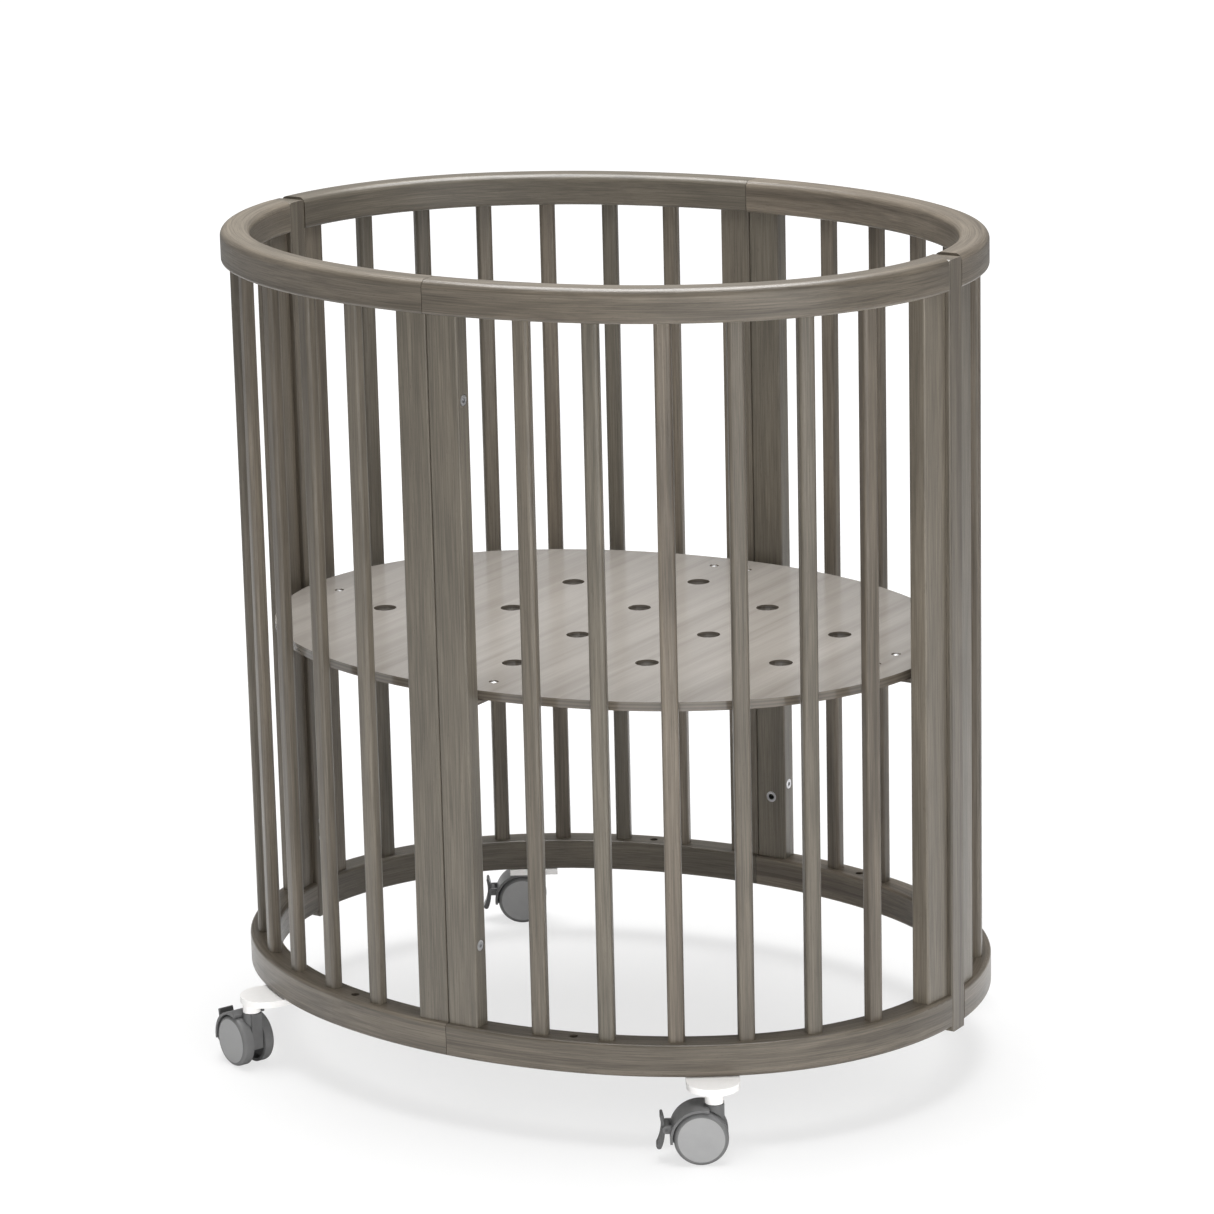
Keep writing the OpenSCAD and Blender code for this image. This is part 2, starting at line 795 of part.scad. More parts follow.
module wheel(i, w) {
    cap_seat = wheel_outer_face - cap_thickness;
    color(grey_plastic)
        at_caster(i) on_wheel_side(w) rotate_extrude() {
            // rim with a rounded outer shoulder
            intersection() {
                union() {
                    translate([wheel_radius - wheel_shoulder, wheel_inner_face])
                        square([wheel_shoulder,
                                wheel_outer_face - wheel_inner_face - wheel_shoulder]);
                    translate([wheel_radius - wheel_shoulder, wheel_outer_face - wheel_shoulder])
                        circle(wheel_shoulder);
                }
                translate([wheel_radius - rim_thickness, wheel_inner_face])
                    square([rim_thickness, wheel_outer_face - wheel_inner_face]);
            }
            // disc under the cap, with a lip round it
            translate([wheel_bore_radius, cap_seat - wheel_web])
                square([wheel_radius - rim_thickness - wheel_bore_radius + 1, wheel_web]);
            translate([cap_radius, cap_seat - wheel_web])
                square([wheel_radius - wheel_shoulder - cap_radius + 1.5,
                        wheel_web + cap_thickness]);
            // hub
            translate([wheel_bore_radius, wheel_inner_face])
                square([hub_radius - wheel_bore_radius, cap_seat - wheel_inner_face]);
        }
}

module wheel_cap(i, w) {
    color(light_grey)
        at_caster(i) on_wheel_side(w)
            translate([0, 0, wheel_outer_face - cap_thickness])
                cylinder(r = cap_radius, h = cap_thickness);
}

// Rocking lever: a curved pad, thicker at its foot, that turns on two pins in the
// hood's lugs. Its near face is one arc and its far face a smaller one, set higher.
lever_centre = [lever_arc_radius + 1.2, -1.2];
function lever_near(y) = lever_centre[0] - sqrt(pow(lever_arc_radius, 2) - pow(y - lever_centre[1], 2));
function lever_far(y) = lever_centre[0]
    - sqrt(pow(lever_arc_radius - lever_thickness, 2) - pow(y - lever_centre[1] - lever_taper, 2));

module lever_outline() {
    translate(lever_pivot) {
        circle(lever_hub_radius);
        intersection() {
            difference() {
                translate(lever_centre) circle(lever_arc_radius);
                translate(lever_centre + [0, lever_taper])
                    circle(lever_arc_radius - lever_thickness);
            }
            translate([0, lever_ends[0]]) square([lever_arc_radius, lever_ends[1] - lever_ends[0]]);
        }
        for (y = lever_ends)
            translate([(lever_near(y) + lever_far(y)) / 2, y])
                circle((lever_far(y) - lever_near(y)) / 2 * 0.92);
    }
}

module brake_lever(i) {
    color(grey_plastic)
        at_caster(i) {
            slab(lever_half) lever_outline();
            translate([lever_pivot[0], lug_outer, lever_pivot[1]]) rotate([90, 0, 0])
                cylinder(r = lever_pin_radius, h = 2 * lug_outer);
        }
}

// ---- nodes ----

for (i = [0 : 3]) {
    top_rail(i);
    bottom_rail(i);
    slats(i);
    stiles(i);
    caster_plate(i);
    caster_hood(i);
    caster_axle(i);
    brake_lever(i);
    for (w = [0, 1]) {
        wheel(i, w);
        wheel_cap(i, w);
    }
}
for (side = [0, 1])
    joint_post(side);
joint_dowels();
connector_bolts();
connector_sleeves();
deck_board();
deck_brackets();
deck_screws();
bracket_bolts();
threaded_inserts();
caster_plate_screws();
caster_stems();
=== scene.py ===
import math
import bpy
from mathutils import Matrix, Vector


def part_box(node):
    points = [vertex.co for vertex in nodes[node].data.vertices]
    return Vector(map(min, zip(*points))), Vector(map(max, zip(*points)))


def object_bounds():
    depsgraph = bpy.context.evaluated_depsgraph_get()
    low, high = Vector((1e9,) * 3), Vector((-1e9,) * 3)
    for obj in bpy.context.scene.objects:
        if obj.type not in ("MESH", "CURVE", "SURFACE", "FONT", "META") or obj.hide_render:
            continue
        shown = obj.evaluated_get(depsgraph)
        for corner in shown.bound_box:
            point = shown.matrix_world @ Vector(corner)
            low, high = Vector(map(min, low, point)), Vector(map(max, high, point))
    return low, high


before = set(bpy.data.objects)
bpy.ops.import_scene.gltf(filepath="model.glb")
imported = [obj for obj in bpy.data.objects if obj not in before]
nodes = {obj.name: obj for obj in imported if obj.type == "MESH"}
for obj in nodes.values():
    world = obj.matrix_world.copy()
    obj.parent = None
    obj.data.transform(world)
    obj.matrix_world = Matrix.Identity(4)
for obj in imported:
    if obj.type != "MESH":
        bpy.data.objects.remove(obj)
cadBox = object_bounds()
corners = ["front_right", "front_left", "back_left", "back_right"]


# small helpers for building node trees

def addNode(tree, kind, inputs=None, **settings):
    made = tree.nodes.new(kind)
    for name, value in settings.items():
        setattr(made, name, value)
    for key, value in (inputs or {}).items():
        if isinstance(value, bpy.types.NodeSocket):
            tree.links.new(value, made.inputs[key])
        else:
            made.inputs[key].default_value = value
    return made


def doMath(tree, operation, *values):
    inputs = {i: v for i, v in enumerate(values)}
    return addNode(tree, "ShaderNodeMath", inputs, operation=operation).outputs[0]


def doVector(tree, operation, *values):
    inputs = {i: v for i, v in enumerate(values)}
    return addNode(tree, "ShaderNodeVectorMath", inputs, operation=operation).outputs[0]


def mapValue(tree, value, low, high, toLow, toHigh):
    inputs = {"Value": value, "From Min": low, "From Max": high, "To Min": toLow, "To Max": toHigh}
    return addNode(tree, "ShaderNodeMapRange", inputs, clamp=True).outputs["Result"]


def mixColour(tree, share, first, second, blend="MIX"):
    mix = addNode(tree, "ShaderNodeMix", data_type="RGBA", blend_type=blend)
    for index, value in ((0, share), (6, first), (7, second)):
        if isinstance(value, bpy.types.NodeSocket):
            tree.links.new(value, mix.inputs[index])
        else:
            mix.inputs[index].default_value = value
    return mix.outputs[2]


def noiseAt(tree, vector, scale, detail=3.0, roughness=0.55, distortion=0.0):
    inputs = {"Vector": vector, "Scale": scale, "Detail": detail,
              "Roughness": roughness, "Distortion": distortion}
    return addNode(tree, "ShaderNodeTexNoise", inputs).outputs["Fac"]


def newGroup(name, inputs, outputs):
    group = bpy.data.node_groups.new(name, "ShaderNodeTree")
    for label, kind, value in inputs:
        socket = group.interface.new_socket(name=label, in_out="INPUT", socket_type=kind)
        socket.default_value = value
    for label, kind in outputs:
        group.interface.new_socket(name=label, in_out="OUTPUT", socket_type=kind)
    given = group.nodes.new("NodeGroupInput").outputs
    out = group.nodes.new("NodeGroupOutput").inputs
    return group, given, out


def useGroup(tree, group, inputs):
    return addNode(tree, "ShaderNodeGroup", inputs, node_tree=group).outputs


def newMaterial(name):
    material = bpy.data.materials.new(name)
    material.use_nodes = True
    tree = material.node_tree
    tree.nodes.clear()
    shader = tree.nodes.new("ShaderNodeBsdfPrincipled")
    output = tree.nodes.new("ShaderNodeOutputMaterial")
    tree.links.new(shader.outputs[0], output.inputs["Surface"])
    return material, tree, shader


def addBump(tree, shader, height, strength, distance):
    bump = addNode(tree, "ShaderNodeBump",
                   {"Height": height, "Strength": strength, "Distance": distance})
    tree.links.new(bump.outputs[0], shader.inputs["Normal"])


def giveMaterial(nodeName, material):
    for slot in nodes[nodeName].material_slots:
        slot.material = material


# where each piece stands along the oval, worked out from the frame

oval = {
    "quarterLength": 0.51377,    # along the middle of the rail
    "firstSlat": 0.0905,         # from a short-axis seam to the first slat
    "slatPitch": 0.0637,
}

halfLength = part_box("joint_post_right")[1].x
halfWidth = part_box("top_rail_front_right")[0].y * -1
ovalShape = math.sqrt(halfWidth / halfLength)
quarterLength = oval["quarterLength"]
alongPerTurn = quarterLength / (math.pi / 2)


def ovalPlaceGroup():
    # turns a position into one along, across and up the oval, with a random number for each piece
    group, given, out = newGroup(
        "placeOnOval", [("Position", "NodeSocketVector", (0, 0, 0))],
        [("Curved", "NodeSocketVector"), ("Piece", "NodeSocketFloat"),
         ("Quarter", "NodeSocketFloat")])
    split = addNode(group, "ShaderNodeSeparateXYZ", {0: given["Position"]}).outputs
    absX = doMath(group, "ABSOLUTE", split["X"])
    absY = doMath(group, "ABSOLUTE", split["Y"])
    wideY = doMath(group, "DIVIDE", split["Y"], ovalShape)
    signX = doMath(group, "SIGN", split["X"])
    signY = doMath(group, "SIGN", split["Y"])
    # distance along the oval from the long axis, inside one quarter and right round
    turn = doMath(group, "ARCTAN2", doMath(group, "DIVIDE", absY, ovalShape), absX)
    along = doMath(group, "MULTIPLY", turn, alongPerTurn)
    around = doMath(group, "MULTIPLY", doMath(group, "ARCTAN2", wideY, split["X"]), alongPerTurn)
    ringX = doMath(group, "DIVIDE", split["X"], halfLength)
    ringY = doMath(group, "DIVIDE", split["Y"], halfWidth)
    ring = doMath(group, "SQRT", doMath(group, "ADD", doMath(group, "MULTIPLY", ringX, ringX),
                                        doMath(group, "MULTIPLY", ringY, ringY)))
    across = doMath(group, "MULTIPLY", ring, halfWidth)
    curved = addNode(group, "ShaderNodeCombineXYZ", {"X": around, "Y": across, "Z": split["Z"]})
    fromSeam = doMath(group, "SUBTRACT", quarterLength - oval["firstSlat"], along)
    slatNumber = doMath(group, "ROUND", doMath(group, "DIVIDE", fromSeam, oval["slatPitch"]))
    # a different number for each quarter of the oval
    quarter = doMath(group, "ADD", doMath(group, "MULTIPLY", signX, 11.3),
                     doMath(group, "MULTIPLY", signY, 27.1))
    code = addNode(group, "ShaderNodeCombineXYZ", {"X": slatNumber, "Y": signX, "Z": signY})
    quarterCode = addNode(group, "ShaderNodeCombineXYZ", {"X": quarter, "Y": signX, "Z": signY})
    piece = addNode(group, "ShaderNodeTexWhiteNoise", {"Vector": code.outputs[0]},
                    noise_dimensions="3D")
    quarterNoise = addNode(group, "ShaderNodeTexWhiteNoise", {"Vector": quarterCode.outputs[0]},
                           noise_dimensions="3D")
    group.links.new(curved.outputs[0], out["Curved"])
    group.links.new(piece.outputs["Value"], out["Piece"])
    group.links.new(quarterNoise.outputs["Value"], out["Quarter"])
    return group


grainStretch = {
    "figure": (95, 95, 2.6),    # across, across and along the grain
    "fibre": (900, 900, 16),
    "fleck": (1500, 1500, 190),
    "cloud": (16, 16, 7),
}


def beechGrainGroup():
    # grain of beech that runs along Z: broad figure, fine fibres and short dark flecks
    group, given, out = newGroup(
        "beechGrain",
        [("Position", "NodeSocketVector", (0, 0, 0)), ("Seed", "NodeSocketFloat", 0.0),
         ("Figure Scale", "NodeSocketFloat", 1.0)],
        [("Figure", "NodeSocketFloat"), ("Fibre", "NodeSocketFloat"),
         ("Fleck", "NodeSocketFloat"), ("Cloud", "NodeSocketFloat")])
    # each seed moves the grain to another part of the noise
    shift = addNode(group, "ShaderNodeCombineXYZ", {
        "X": doMath(group, "MULTIPLY", given["Seed"], 7.0),
        "Y": doMath(group, "MULTIPLY", given["Seed"], 3.0),
        "Z": doMath(group, "MULTIPLY", given["Seed"], 11.0)})
    place = doVector(group, "ADD", given["Position"], shift.outputs[0])

    def stretched(layer):
        return doVector(group, "MULTIPLY", place, grainStretch[layer])

    figure = noiseAt(group, stretched("figure"), given["Figure Scale"], 3.0, 0.55, 0.7)
    fibre = noiseAt(group, stretched("fibre"), 1.0, 4.0, 0.65)
    fleck = noiseAt(group, stretched("fleck"), 1.0, 2.0, 0.5)
    cloud = noiseAt(group, stretched("cloud"), 1.0, 2.0, 0.5)
    group.links.new(mapValue(group, figure, 0.32, 0.68, 0.0, 1.0), out["Figure"])
    group.links.new(mapValue(group, fibre, 0.36, 0.64, 0.0, 1.0), out["Fibre"])
    group.links.new(mapValue(group, fleck, 0.62, 0.74, 0.0, 1.0), out["Fleck"])
    group.links.new(mapValue(group, cloud, 0.35, 0.65, 0.0, 1.0), out["Cloud"])
    return group


scuffMarks = {
    "smudgeScale": 45.0,
    "textureScale": 1400.0,
    "scratchScale": 120.0,
    "scratchTurn": (0.5, 0.3, 0.8),
    "scratchStretch": (1.0, 14.0, 14.0),
}


def scuffGroup():
    # soft smudges and fine scratches, for plastics and metals
    group, given, out = newGroup(
        "scuffs", [("Position", "NodeSocketVector", (0, 0, 0)), ("Scale", "NodeSocketFloat", 1.0)],
        [("Smudge", "NodeSocketFloat"), ("Scratch", "NodeSocketFloat"),
         ("Texture", "NodeSocketFloat")])
    scale = addNode(group, "ShaderNodeCombineXYZ", {axis: given["Scale"] for axis in "XYZ"})
    place = doVector(group, "MULTIPLY", given["Position"], scale.outputs[0])
    smudge = noiseAt(group, place, scuffMarks["smudgeScale"], 3.0, 0.6)
    texture = noiseAt(group, place, scuffMarks["textureScale"], 2.0, 0.6)
    tilted = addNode(group, "ShaderNodeMapping",
                     {"Vector": place, "Rotation": scuffMarks["scratchTurn"],
                      "Scale": scuffMarks["scratchStretch"]}).outputs[0]
    scratch = noiseAt(group, tilted, scuffMarks["scratchScale"], 2.0, 0.5)
    group.links.new(mapValue(group, smudge, 0.35, 0.65, 0.0, 1.0), out["Smudge"])
    group.links.new(mapValue(group, scratch, 0.66, 0.72, 0.0, 1.0), out["Scratch"])
    group.links.new(texture, out["Texture"])
    return group


placeOnOval = ovalPlaceGroup()
beechGrain = beechGrainGroup()
scuffs = scuffGroup()
print("shared shader groups are ready")


# stained beech: rails, slats, stiles and posts

stain = {
    "deep": (0.098, 0.079, 0.058, 1),     # dense part of the grain
    "open": (0.205, 0.172, 0.132, 1),     # open part of the grain
    "cool": (0.142, 0.128, 0.100, 1),     # greener tone that some pieces take
    "coolShare": 0.7,
    "fleckColour": (0.060, 0.047, 0.034, 1),
    "fibreStrength": 0.42,
    "fleckStrength": 0.5,
    "cloudRange": (0.92, 1.06),           # slow drift of tone inside a piece
    "toneSpread": 0.13,                   # change of tone from piece to piece
    "roughness": 0.38,
    "coat": 0.25,
    "coatRoughness": 0.3,
    "poreStrength": 0.35,
    "poreDepth": 0.0002,
}


def stainedWood(name, curved, figureScale, seed, tone=1.0):
    material, tree, shader = newMaterial(name)
    position = addNode(tree, "ShaderNodeTexCoord").outputs["Object"]
    placed = useGroup(tree, placeOnOval, {"Position": position})
    if curved:
        # along the rail becomes Z, so that the grain follows the curve
        split = addNode(tree, "ShaderNodeSeparateXYZ", {0: placed["Curved"]}).outputs
        grainPlace = addNode(tree, "ShaderNodeCombineXYZ",
                             {"X": split["Y"], "Y": split["Z"], "Z": split["X"]}).outputs[0]
        random = placed["Quarter"]
    else:
        grainPlace = position
        random = placed["Piece"]
    seeded = doMath(tree, "ADD", random, seed)
    grain = useGroup(tree, beechGrain, {"Position": grainPlace, "Seed": seeded,
                                        "Figure Scale": figureScale})
    base = mixColour(tree, grain["Figure"], stain["deep"], stain["open"])
    coolShare = mapValue(tree, random, 0.0, 1.0, 0.0, stain["coolShare"])
    base = mixColour(tree, coolShare, base, stain["cool"])
    fibre = mapValue(tree, grain["Fibre"], 0.0, 1.0, 1 - stain["fibreStrength"], 1.0)
    cloud = mapValue(tree, grain["Cloud"], 0.0, 1.0, *stain["cloudRange"])
    toneDraw = addNode(tree, "ShaderNodeTexWhiteNoise", {"W": seeded},
                       noise_dimensions="1D").outputs["Value"]
    pieceTone = mapValue(tree, toneDraw, 0.0, 1.0, (1 - stain["toneSpread"]) * tone,
                         (1 + stain["toneSpread"]) * tone)
    shade = doMath(tree, "MULTIPLY", doMath(tree, "MULTIPLY", fibre, cloud), pieceTone)
    shadeColour = addNode(tree, "ShaderNodeCombineColor", {0: shade, 1: shade, 2: shade}).outputs[0]
    base = mixColour(tree, 1.0, base, shadeColour, "MULTIPLY")
    fleckShare = doMath(tree, "MULTIPLY", grain["Fleck"], stain["fleckStrength"])
    base = mixColour(tree, fleckShare, base, stain["fleckColour"])
    tree.links.new(base, shader.inputs["Base Color"])
    # raised fibres are smoother than the pores between them
    rough = doMath(tree, "ADD", mapValue(tree, grain["Fibre"], 0, 1, stain["roughness"] + 0.06,
                                         stain["roughness"] - 0.04),
                   doMath(tree, "MULTIPLY", grain["Fleck"], 0.1))
    tree.links.new(rough, shader.inputs["Roughness"])
    shader.inputs["Coat Weight"].default_value = stain["coat"]
    shader.inputs["Coat Roughness"].default_value = stain["coatRoughness"]
    height = doMath(tree, "SUBTRACT", grain["Fibre"], doMath(tree, "MULTIPLY", grain["Fleck"], 0.8))
    addBump(tree, shader, height, stain["poreStrength"], stain["poreDepth"])
    return material


railWood = stainedWood("stainedBeechRail", True, 1.0, 0.3)
slatWood = stainedWood("stainedBeechSlat", False, 1.0, 1.7)
stileWood = stainedWood("stainedBeechStile", False, 0.8, 3.1)
postWood = stainedWood("stainedBeechPost", False, 0.9, 4.9, 0.95)
for corner in corners:
    giveMaterial("top_rail_" + corner, railWood)
    giveMaterial("bottom_rail_" + corner, railWood)
    giveMaterial("slats_" + corner, slatWood)
    giveMaterial("stiles_" + corner, stileWood)
for side in ("right", "left"):
    giveMaterial("joint_post_" + side, postWood)
print("rails, slats, stiles and posts are stained")


# deck board: pale faced board with its layers showing at the edge

deck = {
    "faceDeep": (0.248, 0.228, 0.205, 1),
    "faceOpen": (0.315, 0.293, 0.267, 1),
    "edge": (0.125, 0.107, 0.086, 1),
    "layers": 5,
    "layerRange": (0.8, 1.1),      # how dark and light the layers are at the edge
    "grainSeed": 6.2,
    "figureScale": 0.45,
    "roughness": 0.19,
    "coat": 0.5,
    "coatRoughness": 0.15,
    "poreStrength": 0.05,
    "poreDepth": 0.0001,
}


def deckMaterial():
    material, tree, shader = newMaterial("deckFacedBoard")
    position = addNode(tree, "ShaderNodeTexCoord").outputs["Object"]
    split = addNode(tree, "ShaderNodeSeparateXYZ", {0: position}).outputs
    # the face grain runs along the short axis
    turned = addNode(tree, "ShaderNodeCombineXYZ",
                     {"X": split["X"], "Y": split["Z"], "Z": split["Y"]})
    grain = useGroup(tree, beechGrain, {"Position": turned.outputs[0], "Seed": deck["grainSeed"],
                                        "Figure Scale": deck["figureScale"]})
    face = mixColour(tree, grain["Figure"], deck["faceDeep"], deck["faceOpen"])
    fibre = mapValue(tree, grain["Fibre"], 0.0, 1.0, 0.9, 1.0)
    fibreColour = addNode(tree, "ShaderNodeCombineColor", {0: fibre, 1: fibre, 2: fibre}).outputs[0]
    face = mixColour(tree, 1.0, face, fibreColour, "MULTIPLY")
    # the edge shows darker and lighter layers
    low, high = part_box("deck_board")
    level = mapValue(tree, split["Z"], low.z, high.z, 0.0, deck["layers"] * math.pi)
    layer = mapValue(tree, doMath(tree, "SINE", level), -1.0, 1.0, *deck["layerRange"])
    layerColour = addNode(tree, "ShaderNodeCombineColor", {0: layer, 1: layer, 2: layer}).outputs[0]
    edge = mixColour(tree, 1.0, deck["edge"], layerColour, "MULTIPLY")
    normal = addNode(tree, "ShaderNodeNewGeometry").outputs["True Normal"]
    normalZ = addNode(tree, "ShaderNodeSeparateXYZ", {0: normal}).outputs["Z"]
    upness = doMath(tree, "ABSOLUTE", normalZ)
    onFace = mapValue(tree, upness, 0.4, 0.6, 0.0, 1.0)
    tree.links.new(mixColour(tree, onFace, edge, face), shader.inputs["Base Color"])
    rough = mapValue(tree, grain["Cloud"], 0, 1, deck["roughness"] - 0.05, deck["roughness"] + 0.08)
    tree.links.new(rough, shader.inputs["Roughness"])
    shader.inputs["Coat Weight"].default_value = deck["coat"]
    shader.inputs["Coat Roughness"].default_value = deck["coatRoughness"]
    addBump(tree, shader, grain["Fibre"], deck["poreStrength"], deck["poreDepth"])
    return material


giveMaterial("deck_board", deckMaterial())
print("deck board is faced")


# raw beech for the hidden dowels

dowel = {
    "deep": (0.42, 0.27, 0.15, 1),
    "open": (0.60, 0.42, 0.26, 1),
    "grainSeed": 9.0,
    "figureScale": 1.5,
    "rough": (0.7, 0.55),    # in the pores and on the fibres
}


def dowelMaterial():
    material, tree, shader = newMaterial("rawBeech")
    position = addNode(tree, "ShaderNodeTexCoord").outputs["Object"]
    grain = useGroup(tree, beechGrain, {"Position": position, "Seed": dowel["grainSeed"],
                                        "Figure Scale": dowel["figureScale"]})
    tree.links.new(mixColour(tree, grain["Figure"], dowel["deep"], dowel["open"]),
                   shader.inputs["Base Color"])
    tree.links.new(mapValue(tree, grain["Fibre"], 0, 1, *dowel["rough"]),
                   shader.inputs["Roughness"])
    return material


giveMaterial("joint_dowels", dowelMaterial())


# steel parts

steel = {
    "bright": {
        "base": (0.62, 0.62, 0.63, 1),
        "dull": (0.44, 0.44, 0.45, 1),
        "roughness": 0.26,
    },
    "zinc": {
        "base": (0.50, 0.51, 0.52, 1),
        "dull": (0.36, 0.37, 0.38, 1),
        "roughness": 0.38,
    },
    "nickel": {
        "base": (0.90, 0.90, 0.90, 1),
        "dull": (0.76, 0.76, 0.77, 1),
        "roughness": 0.34,
    },
    "scuffScale": 4.0,
    "smudgeRough": 0.14,     # what a smudge and a scratch add to the roughness
    "scratchRough": 0.15,
    "markStrength": 0.15,
    "markDepth": 0.00005,
}


def steelMaterial(name, finish):
    material, tree, shader = newMaterial(name)
    position = addNode(tree, "ShaderNodeTexCoord").outputs["Object"]
    marks = useGroup(tree, scuffs, {"Position": position, "Scale": steel["scuffScale"]})
    base = mixColour(tree, marks["Smudge"], finish["base"], finish["dull"])
    tree.links.new(base, shader.inputs["Base Color"])
    shader.inputs["Metallic"].default_value = 1.0
    rough = doMath(tree, "ADD", mapValue(tree, marks["Smudge"], 0, 1, finish["roughness"],
                                         finish["roughness"] + steel["smudgeRough"]),
                   doMath(tree, "MULTIPLY", marks["Scratch"], steel["scratchRough"]))
    tree.links.new(rough, shader.inputs["Roughness"])
    height = doMath(tree, "SUBTRACT", marks["Texture"], marks["Scratch"])
    addBump(tree, shader, height, steel["markStrength"], steel["markDepth"])
    return material


brightSteel = steelMaterial("brightSteel", steel["bright"])
zincSteel = steelMaterial("zincSteel", steel["zinc"])
for name in ("connector_bolts", "bracket_bolts", "threaded_inserts"):
    giveMaterial(name, brightSteel)
giveMaterial("deck_screws", steelMaterial("nickelSteel", steel["nickel"]))
for name in ("connector_sleeves", "caster_plate_screws", "caster_stems"):
    giveMaterial(name, zincSteel)
for corner in corners:
    giveMaterial("caster_axle_" + corner, zincSteel)


# bracket steel coloured dark brown, with lighter smudges

darkBracket = {
    "base": (0.085, 0.072, 0.058, 1),
    "worn": (0.12, 0.104, 0.086, 1),
    "roughness": 0.5,
    "roughRange": 0.06,
    "scuffScale": 3.0,
    "peelStrength": 0.4,
    "peelDepth": 0.0001,
}


def bracketMaterial():
    material, tree, shader = newMaterial("darkBrownSteel")
    position = addNode(tree, "ShaderNodeTexCoord").outputs["Object"]
    marks = useGroup(tree, scuffs, {"Position": position, "Scale": darkBracket["scuffScale"]})
    tree.links.new(mixColour(tree, marks["Smudge"], darkBracket["base"], darkBracket["worn"]),
                   shader.inputs["Base Color"])
    rough = mapValue(tree, marks["Texture"], 0.3, 0.7,
                     darkBracket["roughness"] - darkBracket["roughRange"],
                     darkBracket["roughness"] + darkBracket["roughRange"])
    tree.links.new(rough, shader.inputs["Roughness"])
    addBump(tree, shader, marks["Texture"], darkBracket["peelStrength"], darkBracket["peelDepth"])
    return material


giveMaterial("deck_brackets", bracketMaterial())
print("steel parts are plated")


# moulded plastics

plastic = {
    "plate": {
        "base": (0.93, 0.915, 0.90, 1),
        "worn": (0.88, 0.87, 0.85, 1),
        "roughness": 0.45,
        "grainHeight": 0.12,
    },
    "hood": {
        "base": (0.112, 0.112, 0.112, 1),
        "worn": (0.148, 0.148, 0.148, 1),
        "roughness": 0.42,
        "grainHeight": 0.25,
    },
    "wheel": {
        "base": (0.130, 0.130, 0.130, 1),
        "worn": (0.165, 0.165, 0.164, 1),
        "roughness": 0.48,
        "grainHeight": 0.2,
    },
    "cap": {
        "base": (0.295, 0.295, 0.295, 1),
        "worn": (0.33, 0.33, 0.329, 1),
        "roughness": 0.45,
        "grainHeight": 0.15,
    },
    "lever": {
        "base": (0.075, 0.075, 0.075, 1),
        "worn": (0.115, 0.115, 0.115, 1),
        "roughness": 0.40,
        "grainHeight": 0.25,
    },
    "scuffScale": 2.0,
    "grainDepth": 0.0001,
}


def plasticMaterial(name, finish):
    material, tree, shader = newMaterial(name)
    position = addNode(tree, "ShaderNodeTexCoord").outputs["Object"]
    marks = useGroup(tree, scuffs, {"Position": position, "Scale": plastic["scuffScale"]})
    share = doMath(tree, "ADD", doMath(tree, "MULTIPLY", marks["Smudge"], 0.5),
                   doMath(tree, "MULTIPLY", marks["Scratch"], 0.5))
    tree.links.new(mixColour(tree, share, finish["base"], finish["worn"]),
                   shader.inputs["Base Color"])
    rough = doMath(tree, "ADD", mapValue(tree, marks["Smudge"], 0, 1, finish["roughness"] - 0.05,
                                         finish["roughness"] + 0.08),
                   doMath(tree, "MULTIPLY", marks["Scratch"], 0.12))
    tree.links.new(rough, shader.inputs["Roughness"])
    addBump(tree, shader, marks["Texture"], finish["grainHeight"], plastic["grainDepth"])
    return material


platePlastic = plasticMaterial("whitePlatePlastic", plastic["plate"])
hoodPlastic = plasticMaterial("hoodPlastic", plastic["hood"])
wheelPlastic = plasticMaterial("wheelPlastic", plastic["wheel"])
capPlastic = plasticMaterial("capPlastic", plastic["cap"])
leverPlastic = plasticMaterial("leverPlastic", plastic["lever"])
for corner in corners:
    giveMaterial("caster_plate_" + corner, platePlastic)
    giveMaterial("caster_hood_" + corner, hoodPlastic)
    giveMaterial("brake_lever_" + corner, leverPlastic)
    for wheel in ("1", "2"):
        giveMaterial("wheel_" + corner + "_" + wheel, wheelPlastic)
        giveMaterial("wheel_cap_" + corner + "_" + wheel, capPlastic)
print("plastic parts are moulded")


# studio: floor, lights and camera

studio = {
    "floorBounce": 0.86,      # how much light the floor gives back to the crib
    "floorShade": 0.26,       # how much of the shadows is seen on the floor
    "floorGlow": 0.70,        # how bright the floor is seen with no light on it
    "fadeFrom": 0.7,          # the floor fades to white between these distances
    "fadeTo": 2.2,
    "floorSize": 14.0,
    "backdrop": 1.05,         # how bright the backdrop is seen
    "sky": 0.27,              # how much light it gives
    "overhead": {"power": 140, "size": 2.4, "place": (-0.1, 0.2, 2.9)},
    "rightKey": {"power": 24, "size": 2.0, "place": (3.2, -1.5, 0.7)},
    "lowFront": {"power": 46, "size": 1.4, "place": (1.4, -2.0, 0.1)},
}


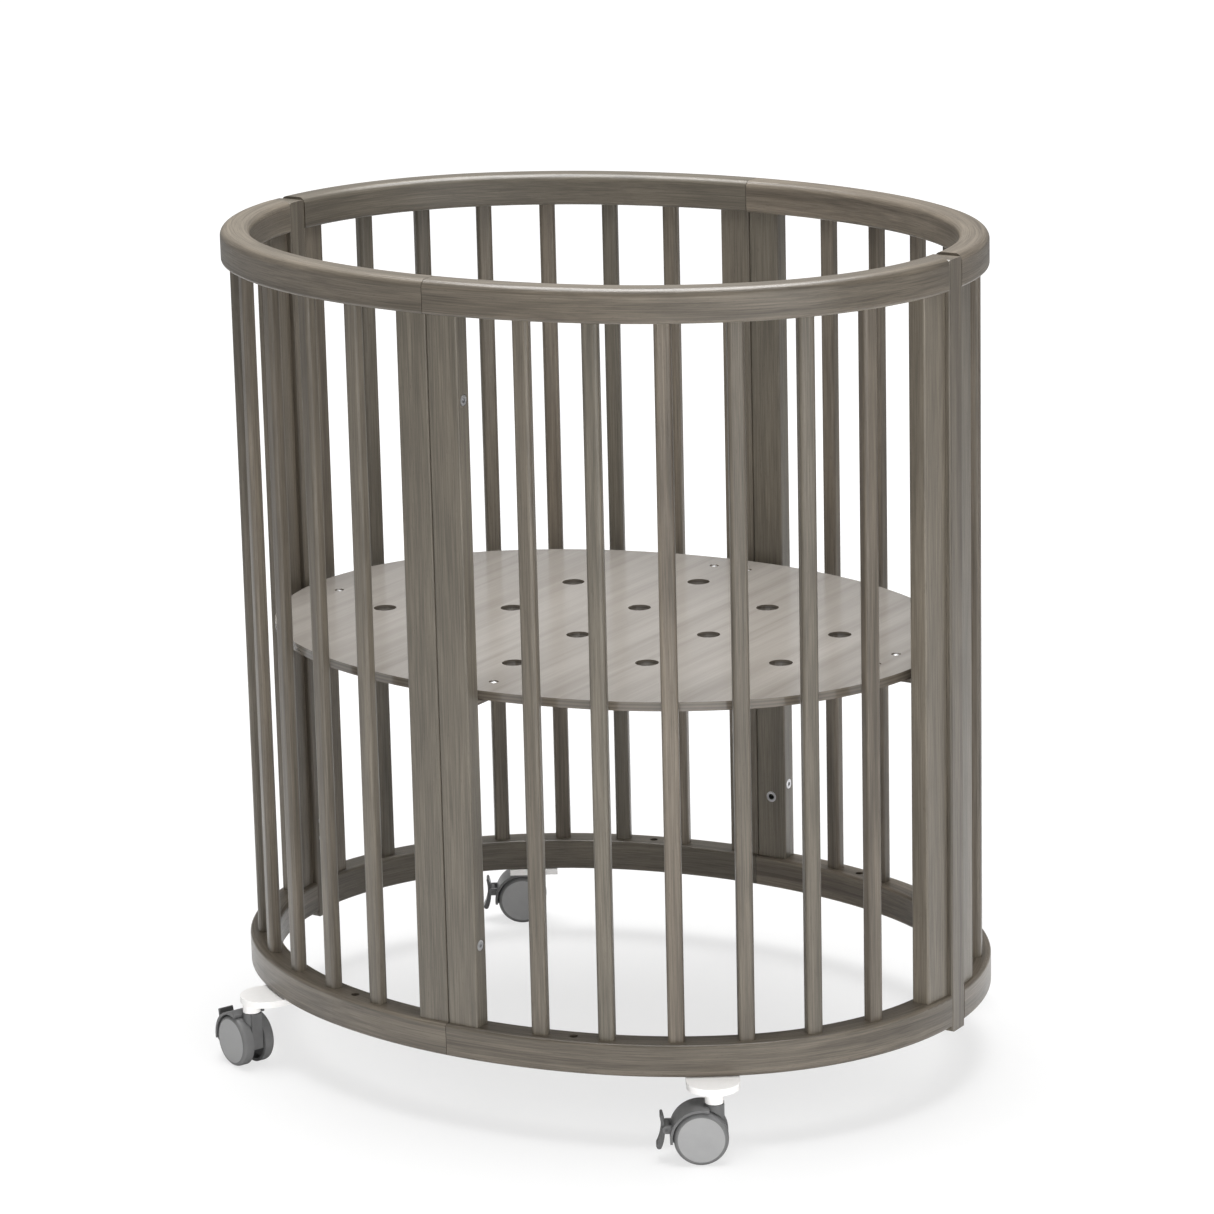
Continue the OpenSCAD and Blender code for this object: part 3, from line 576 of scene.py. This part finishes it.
def buildFloor():
    half = studio["floorSize"] / 2
    mesh = bpy.data.meshes.new("studioFloor")
    mesh.from_pydata([(-half, -half, 0), (half, -half, 0), (half, half, 0), (-half, half, 0)],
                     [], [(0, 1, 2, 3)])
    floor = bpy.data.objects.new("studioFloor", mesh)
    bpy.context.scene.collection.objects.link(floor)
    material, tree, shader = newMaterial("paleFloor")
    position = addNode(tree, "ShaderNodeTexCoord").outputs["Object"]
    mottle = noiseAt(tree, position, 3.0, 2.0, 0.5)
    seen = addNode(tree, "ShaderNodeLightPath").outputs["Is Camera Ray"]
    # looked at directly the floor is nearly white; to all other light it is plain and pale
    tone = mapValue(tree, seen, 0.0, 1.0, studio["floorBounce"], studio["floorShade"])
    tone = doMath(tree, "MULTIPLY", tone, mapValue(tree, mottle, 0.3, 0.7, 0.99, 1.0))
    toneColour = addNode(tree, "ShaderNodeCombineColor", {0: tone, 1: tone, 2: tone}).outputs[0]
    tree.links.new(toneColour, shader.inputs["Base Color"])
    shader.inputs["Roughness"].default_value = 0.5
    shader.inputs["Specular IOR Level"].default_value = 0.1
    shader.inputs["Emission Color"].default_value = (1, 1, 1, 1)
    away = addNode(tree, "ShaderNodeVectorMath", {0: position}, operation="LENGTH").outputs["Value"]
    glow = mapValue(tree, away, studio["fadeFrom"], studio["fadeTo"], studio["floorGlow"], 1.0)
    tree.links.new(doMath(tree, "MULTIPLY", seen, glow), shader.inputs["Emission Strength"])
    mesh.materials.append(material)


def addSoftbox(name, values, target, glossy=True):
    light = bpy.data.lights.new(name, "AREA")
    light.energy = values["power"]
    light.shape = "DISK"
    light.size = values["size"]
    lamp = bpy.data.objects.new(name, light)
    lamp.location = values["place"]
    aim = Vector(target) - Vector(values["place"])
    lamp.rotation_euler = aim.to_track_quat("-Z", "Y").to_euler()
    lamp.visible_glossy = glossy
    bpy.context.scene.collection.objects.link(lamp)


def buildStudio():
    world = bpy.data.worlds.new("studioWorld")
    world.use_nodes = True
    background = world.node_tree.nodes["Background"]
    background.inputs["Color"].default_value = (1, 1, 1, 1)
    # the backdrop is seen as white but gives little light
    seen = addNode(world.node_tree, "ShaderNodeLightPath").outputs["Is Camera Ray"]
    strength = mapValue(world.node_tree, seen, 0.0, 1.0, studio["sky"], studio["backdrop"])
    world.node_tree.links.new(strength, background.inputs["Strength"])
    bpy.context.scene.world = world
    bpy.context.scene.view_settings.view_transform = "Standard"
    middle = (0, 0, cadBox[1].z / 2)
    addSoftbox("overheadSoftbox", studio["overhead"], middle)
    addSoftbox("rightSoftbox", studio["rightKey"], middle)
    # lights the casters and the undersides, and isn't mirrored in them
    addSoftbox("lowSoftbox", studio["lowFront"], (0, 0, 0.05), glossy=False)


cameraView = {
    "azimuth": 32.07,     # degrees round from the front, towards the right end
    "elevation": 14.71,
    "roll": -1.35,
    "distance": 4.4565,
    "aimHeight": 0.4278,
    "aimAside": -0.0016,
    "lens": 138.28,
}


def buildCamera():
    turn, lift, roll = (math.radians(cameraView[k]) for k in ("azimuth", "elevation", "roll"))
    back = Vector((math.sin(turn), -math.cos(turn), math.tan(lift))) * math.cos(lift)
    right = Vector((math.cos(turn), math.sin(turn), 0))
    up = back.cross(right)
    rolledRight = math.cos(roll) * right + math.sin(roll) * up
    rolledUp = -math.sin(roll) * right + math.cos(roll) * up
    place = back * cameraView["distance"] + right * cameraView["aimAside"]
    place += Vector((0, 0, cameraView["aimHeight"]))
    cameraData = bpy.data.cameras.new("studioCamera")
    cameraData.lens = cameraView["lens"]
    cameraData.sensor_width = 36
    camera = bpy.data.objects.new("studioCamera", cameraData)
    turned = Matrix((rolledRight, rolledUp, back)).transposed()
    camera.matrix_world = Matrix.Translation(place) @ turned.to_4x4()
    bpy.context.scene.collection.objects.link(camera)
    bpy.context.scene.camera = camera


buildFloor()
buildStudio()
buildCamera()
print("studio is set")
